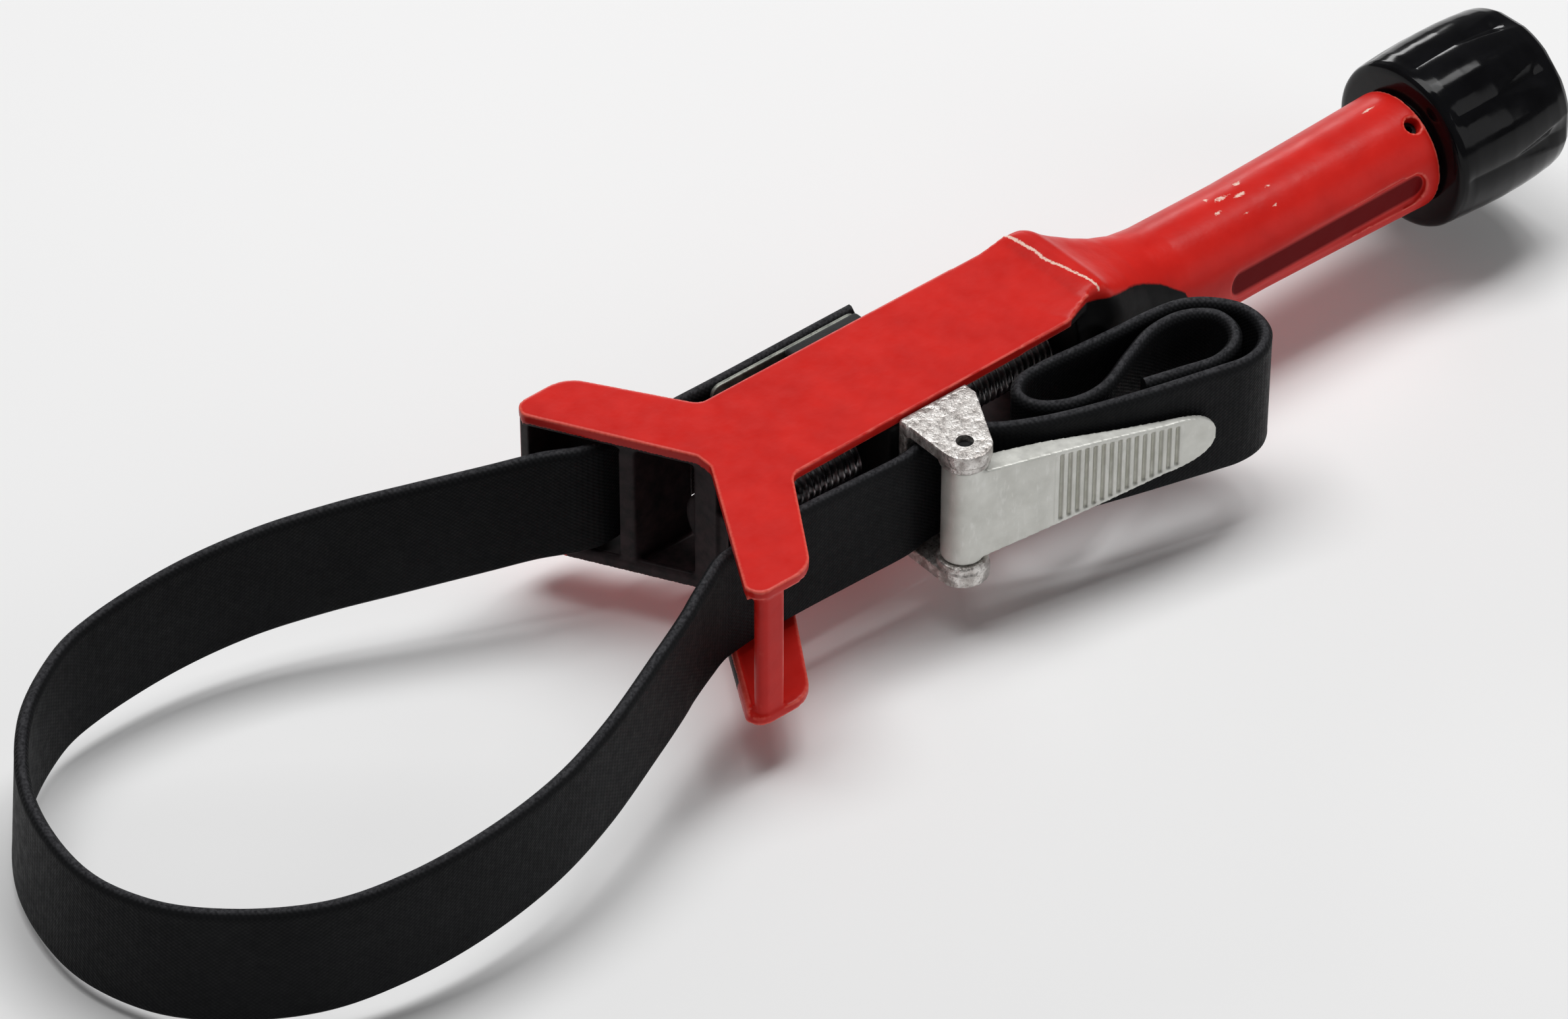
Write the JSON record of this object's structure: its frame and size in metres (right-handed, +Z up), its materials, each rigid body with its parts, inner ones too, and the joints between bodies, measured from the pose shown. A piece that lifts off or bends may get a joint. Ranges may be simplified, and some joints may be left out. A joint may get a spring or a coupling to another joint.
{
  "type": "oil filter wrench",
  "caption": "Strap wrench with a forked cast frame, screw-drawn carriage, cam-lever buckle, webbing loop, hollow handle and tightening knob.",
  "frame": {"origin": "middle of the small flat at the bottom of the fork's V, on the spindle's axis", "axes": "+X along the handle towards the knob, +Y to the side where the strap is anchored (away from the lever), +Z up across the strap's width"},
  "size_m": [0.4252, 0.1145, 0.0539],
  "materials": {
    "red_enamel": "gloss red enamel on a casting, worn at the ridge",
    "steel": "plain steel",
    "bronze": "sintered bronze",
    "cast_zinc": "tumbled cast zinc",
    "black_casting": "matt black casting",
    "black_plastic": "polished black moulding",
    "webbing": "dark grey woven polyester webbing"
  },
  "bodies": {
    "frame": {"frame_casting": "red_enamel", "bearing_bush": "bronze", "bush_set_screw_1": "steel", "bush_set_screw_2": "steel", "bush_set_screw_3": "steel", "front_thrust_washer": "steel", "rear_thrust_washer": "steel", "strap_loop": "webbing"},
    "spindle": {"spindle": "steel", "retaining_ring": "steel", "knob": "black_plastic", "knob_washer": "steel", "knob_screw": "steel"},
    "carriage": {"carriage_block": "black_casting", "spindle_nut": "steel", "anchor_plate": "cast_zinc", "anchor_rivet_1": "steel", "anchor_rivet_2": "steel", "buckle_bracket": "cast_zinc", "bracket_screw_upper": "steel", "bracket_screw_lower": "steel", "lever_pin": "steel", "strap_far_run": "webbing", "strap_anchor_end": "webbing", "strap_near_run": "webbing", "strap_tail": "webbing"},
    "lever": {"cam_lever": "cast_zinc"}
  },
  "joints": [
    {"name": "knob_turn", "type": "hinge", "parent": "frame", "child": "spindle", "pos_m": [0, 0, 0], "axis": [-1, 0, 0], "range_deg": [0, 6780]},
    {"name": "carriage_slide", "type": "slide", "parent": "frame", "child": "carriage", "axis": [1, 0, 0], "range_m": [0, 0.033]},
    {"name": "lever_swing", "type": "hinge", "parent": "carriage", "child": "lever", "pos_m": [0.049, -0.0312, 0], "axis": [0, 0, 1], "range_deg": [-100, 0]}
  ],
  "couplings": [
    {"joint": "carriage_slide", "follows": "knob_turn", "m_per_rad": 0.00027852}
  ]
}
